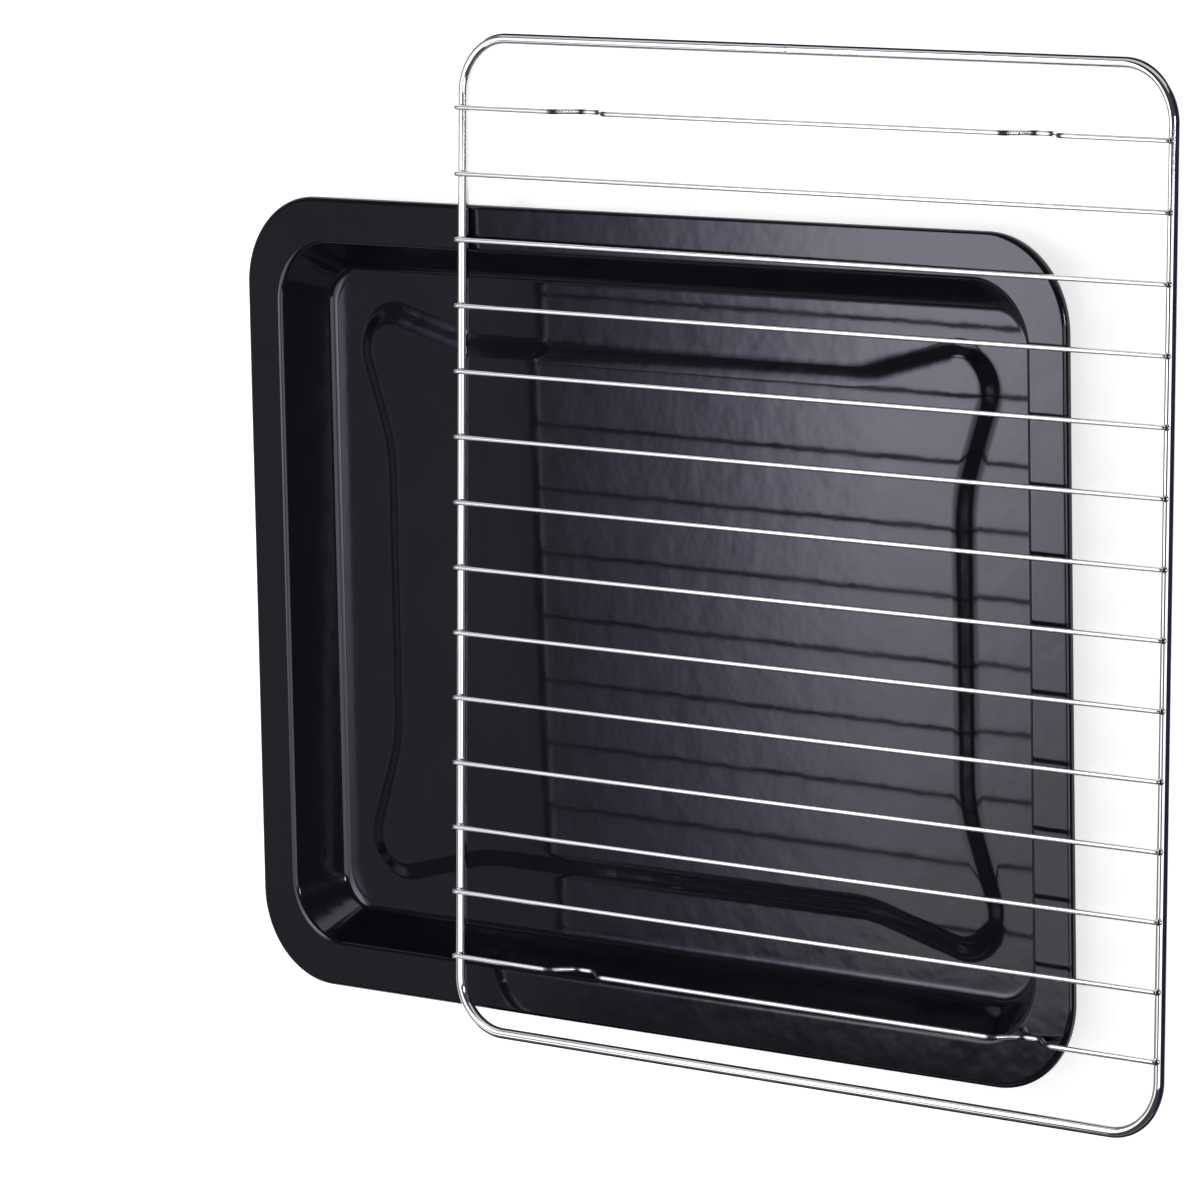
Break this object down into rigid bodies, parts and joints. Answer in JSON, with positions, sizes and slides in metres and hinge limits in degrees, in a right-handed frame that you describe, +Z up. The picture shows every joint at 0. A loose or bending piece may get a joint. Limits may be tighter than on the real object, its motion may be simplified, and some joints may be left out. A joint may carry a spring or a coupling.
{
  "type": "baking tray with wire rack",
  "caption": "Rectangular enamelled baking tray with a turned-down rim and a raised eared panel, and a chrome wire cooling rack on dipped feet laid across it.",
  "frame": {"origin": "middle of the set's footprint, on the surface that the tray stands on", "axes": "+X along the tray's long side, towards the end that the rack sticks out past; +Y along the tray's short side, towards the side that the rack sticks out past; +Z up"},
  "size_m": [0.4466, 0.3898, 0.0351],
  "materials": {
    "black_enamel": "gloss black vitreous enamel on pressed steel",
    "chrome_wire": "bright chrome plate on drawn steel wire"
  },
  "bodies": {
    "tray": {"tray_pan": "black_enamel"},
    "rack": {"rack_frame": "chrome_wire", "cross_wire_01": "chrome_wire", "cross_wire_02": "chrome_wire", "cross_wire_03": "chrome_wire", "cross_wire_04": "chrome_wire", "cross_wire_05": "chrome_wire", "cross_wire_06": "chrome_wire", "cross_wire_07": "chrome_wire", "cross_wire_08": "chrome_wire", "cross_wire_09": "chrome_wire", "cross_wire_10": "chrome_wire", "cross_wire_11": "chrome_wire", "cross_wire_12": "chrome_wire", "cross_wire_13": "chrome_wire", "cross_wire_14": "chrome_wire"}
  },
  "joints": [
    {"name": "rack_lift", "type": "slide", "parent": "tray", "child": "rack", "axis": [0, 0, 1], "range_m": [0, 0.12]}
  ]
}
